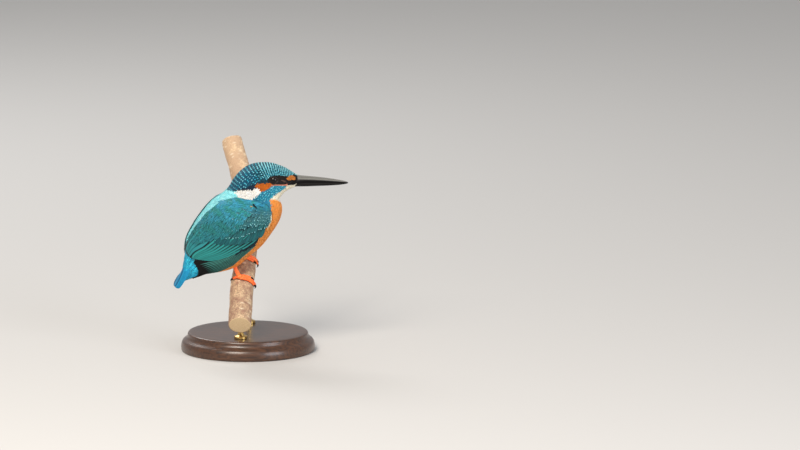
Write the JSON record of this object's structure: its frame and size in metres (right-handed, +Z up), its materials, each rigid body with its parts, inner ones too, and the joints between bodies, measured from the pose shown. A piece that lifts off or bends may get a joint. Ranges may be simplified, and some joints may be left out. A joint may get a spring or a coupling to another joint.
{
  "type": "common kingfisher",
  "caption": "Life-size male common kingfisher gripping a steep cut length of branch, held over a round wooden base by brass rods.",
  "frame": {"origin": "centre of the round base's underside, on the surface the model stands on", "axes": "+Z up, +X the way the bill points, the bird's right side towards -Y"},
  "size_m": [0.1304, 0.1318, 0.151],
  "materials": {
    "plumage_blue": "satin, azure and dark blue feathers",
    "plumage_green": "satin, teal feathers",
    "plumage_orange": "matt, orange feathers",
    "bill": "satin black horn",
    "eye": "wet, dark brown",
    "foot": "scaly, orange-red",
    "claw": "satin black horn",
    "bark": "smooth pinkish-brown bark with pale lenticels",
    "stand_wood": "satin dark stained wood",
    "stand_brass": "satin turned brass"
  },
  "bodies": {
    "root": {"head": "plumage_blue", "neck": "plumage_orange", "trunk": "plumage_orange", "rump": "plumage_blue", "eye_right": "eye", "eye_left": "eye", "bill_upper": "bill", "bill_lower": "bill", "wing_right": "plumage_green", "primaries_right": "plumage_green", "wing_left": "plumage_green", "primaries_left": "plumage_green", "tail": "plumage_blue", "leg_right": "foot", "leg_left": "foot", "claw_right_hind": "claw", "claw_right_inner": "claw", "claw_right_middle": "claw", "claw_right_outer": "claw", "claw_left_hind": "claw", "claw_left_inner": "claw", "claw_left_middle": "claw", "claw_left_outer": "claw", "perch": "bark", "stand_base": "stand_wood", "stand_rod_front": "stand_brass", "stand_rod_rear": "stand_brass"}
  },
  "joints": []
}
